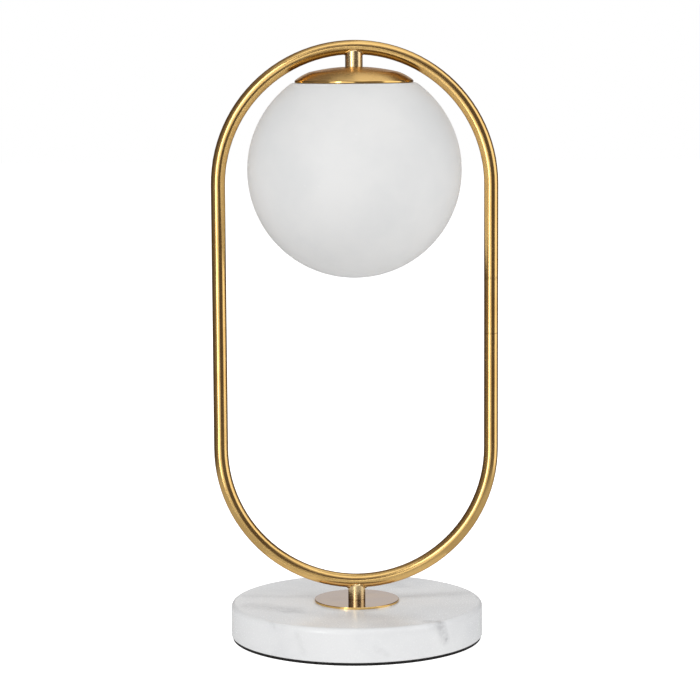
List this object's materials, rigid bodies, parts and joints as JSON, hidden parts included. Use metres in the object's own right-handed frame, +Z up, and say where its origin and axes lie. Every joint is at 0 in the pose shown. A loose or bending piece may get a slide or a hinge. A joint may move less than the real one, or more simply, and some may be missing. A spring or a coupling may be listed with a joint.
{
  "type": "glass globe table lamp",
  "caption": "Table lamp: an opal glass globe hangs under a shallow brass dome inside an upright stadium-shaped brass tube loop, on a round white marble base.",
  "frame": {"origin": "centre of the foam pad's underside, on the surface that the lamp stands on", "axes": "+Z up, the tube loop in the XZ plane, the cord inlet at the back on +Y, the front on -Y"},
  "size_m": [0.2012, 0.179, 0.4227],
  "materials": {
    "foam_pad": "matte foam",
    "marble": "polished white marble with soft grey veins",
    "brass": "satin brushed, lacquered",
    "polished_brass": "polished",
    "steel": "zinc plated",
    "spring_steel": "polished spring steel",
    "black_plastic": "moulded",
    "white_plastic": "moulded",
    "ceramic": "glazed ceramic",
    "opal_glass": "opal, satin etched",
    "bulb_opal": "opal",
    "bulb_metal": "nickel plated",
    "black_glass": "glossy",
    "board": "white solder mask",
    "chip": "phosphor",
    "live_insulation": "brown",
    "neutral_insulation": "blue"
  },
  "bodies": {
    "stand": {"base_pad": "foam_pad", "marble_base": "marble", "cord_gland": "black_plastic", "terminal_block": "white_plastic", "terminal_screws": "steel", "base_washer": "steel", "spring_washer": "steel", "base_nut": "steel", "base_nipple": "steel", "base_plate": "polished_brass", "lower_stem": "brass", "frame_tube": "brass", "upper_stem": "brass", "upper_nipple": "steel", "canopy_dome": "brass", "canopy_nut": "steel", "clip_plate": "steel", "globe_clip_1": "spring_steel", "globe_clip_2": "spring_steel", "globe_clip_3": "spring_steel", "clip_rivets": "steel", "clip_nut": "steel", "lampholder_cap": "black_plastic", "lampholder_body": "black_plastic", "contact_insert": "ceramic", "holder_screws": "steel", "screw_shell": "brass", "centre_contact": "brass", "live_lead": "live_insulation", "neutral_lead": "neutral_insulation"},
    "globe": {"glass_globe": "opal_glass"},
    "bulb": {"bulb_contact": "bulb_metal", "bulb_insulator": "black_glass", "bulb_cap": "bulb_metal", "bulb_housing": "white_plastic", "led_board": "board", "led_chips": "chip", "bulb_envelope": "bulb_opal"}
  },
  "joints": [
    {"name": "globe_pull", "type": "slide", "parent": "stand", "child": "globe", "axis": [0, 0, -1], "range_m": [0, 0.2], "deforming": ["globe_clip_1", "globe_clip_2", "globe_clip_3"]},
    {"name": "bulb_turn", "type": "hinge", "parent": "stand", "child": "bulb", "pos_m": [0, 0, 0.3681], "axis": [0, 0, -1], "range_deg": [0, 900]}
  ]
}
